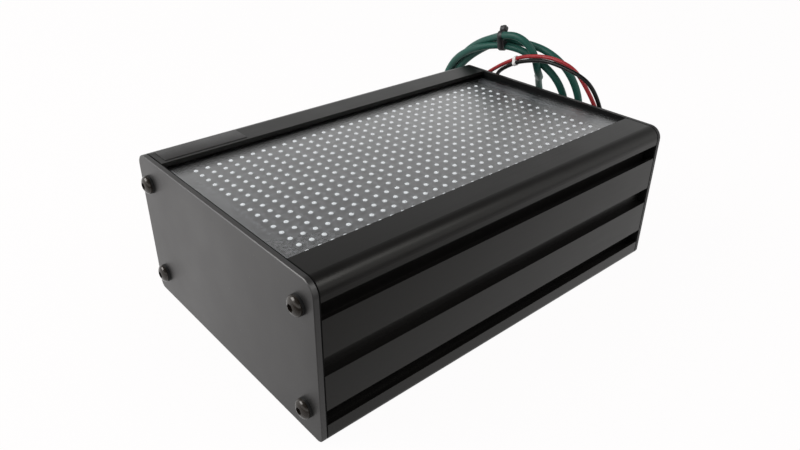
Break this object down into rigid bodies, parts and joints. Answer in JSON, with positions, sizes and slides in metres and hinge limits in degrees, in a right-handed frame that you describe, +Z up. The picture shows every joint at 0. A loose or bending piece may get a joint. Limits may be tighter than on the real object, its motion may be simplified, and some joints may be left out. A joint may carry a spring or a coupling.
{
  "type": "led matrix panel",
  "caption": "Box-shaped LED matrix display: grooved black extruded case, end plates, recessed glossy window over a grid of white LEDs, coiled data cable and supply wires.",
  "frame": {"origin": "middle of the case's underside, which is the face it lies on", "axes": "+X along the case towards the end plate with the cables, +Y to the far long side in the picture, +Z up out of the screen"},
  "size_m": [0.3909, 0.222, 0.1303],
  "materials": {
    "anodised_case": "black anodised extrusion, satin",
    "coated_plate": "black powder coat, fine satin",
    "gasket_rubber": "matt black sheet",
    "black_screws": "black, glossy",
    "black_washers": "black, smooth",
    "clear_window": "clear, glossy",
    "strip_plastic": "grey, satin",
    "led_board": "dark board with white LED bodies",
    "circuit_board": "green solder mask",
    "terminal_plastic": "black, smooth",
    "ribbon_grey": "grey, ribbed",
    "gland_plastic": "black, satin",
    "seal_rubber": "matt black",
    "green_sheath": "dark green sheath, satin",
    "red_wire": "red insulation, satin",
    "black_wire": "black insulation, satin",
    "tie_plastic": "black, smooth",
    "plug_plastic": "black, smooth",
    "white_band": "white, matt"
  },
  "bodies": {
    "root": {"housing": "anodised_case", "near_plate": "coated_plate", "cable_plate": "coated_plate", "near_gasket": "gasket_rubber", "cable_gasket": "gasket_rubber", "near_screws": "black_screws", "near_washers": "black_washers", "cable_screws": "black_screws", "cable_washers": "black_washers", "window": "clear_window", "window_strips": "strip_plastic", "led_board": "led_board", "controller_board": "circuit_board", "data_terminal": "terminal_plastic", "supply_terminal": "terminal_plastic", "ribbon_sockets": "terminal_plastic", "ribbon_cable": "ribbon_grey", "gland_body": "gland_plastic", "gland_seal": "seal_rubber", "gland_nut": "gland_plastic", "gland_locknut": "gland_plastic", "wire_grommet": "seal_rubber", "data_inner_lead": "green_sheath", "red_inner_lead": "red_wire", "black_inner_lead": "black_wire", "data_lead": "green_sheath", "data_coil": "green_sheath", "data_tail": "green_sheath", "cable_tie": "tie_plastic", "data_plug": "plug_plastic", "red_wire": "red_wire", "black_wire": "black_wire", "supply_connector": "plug_plastic", "wire_band": "white_band"}
  },
  "joints": []
}
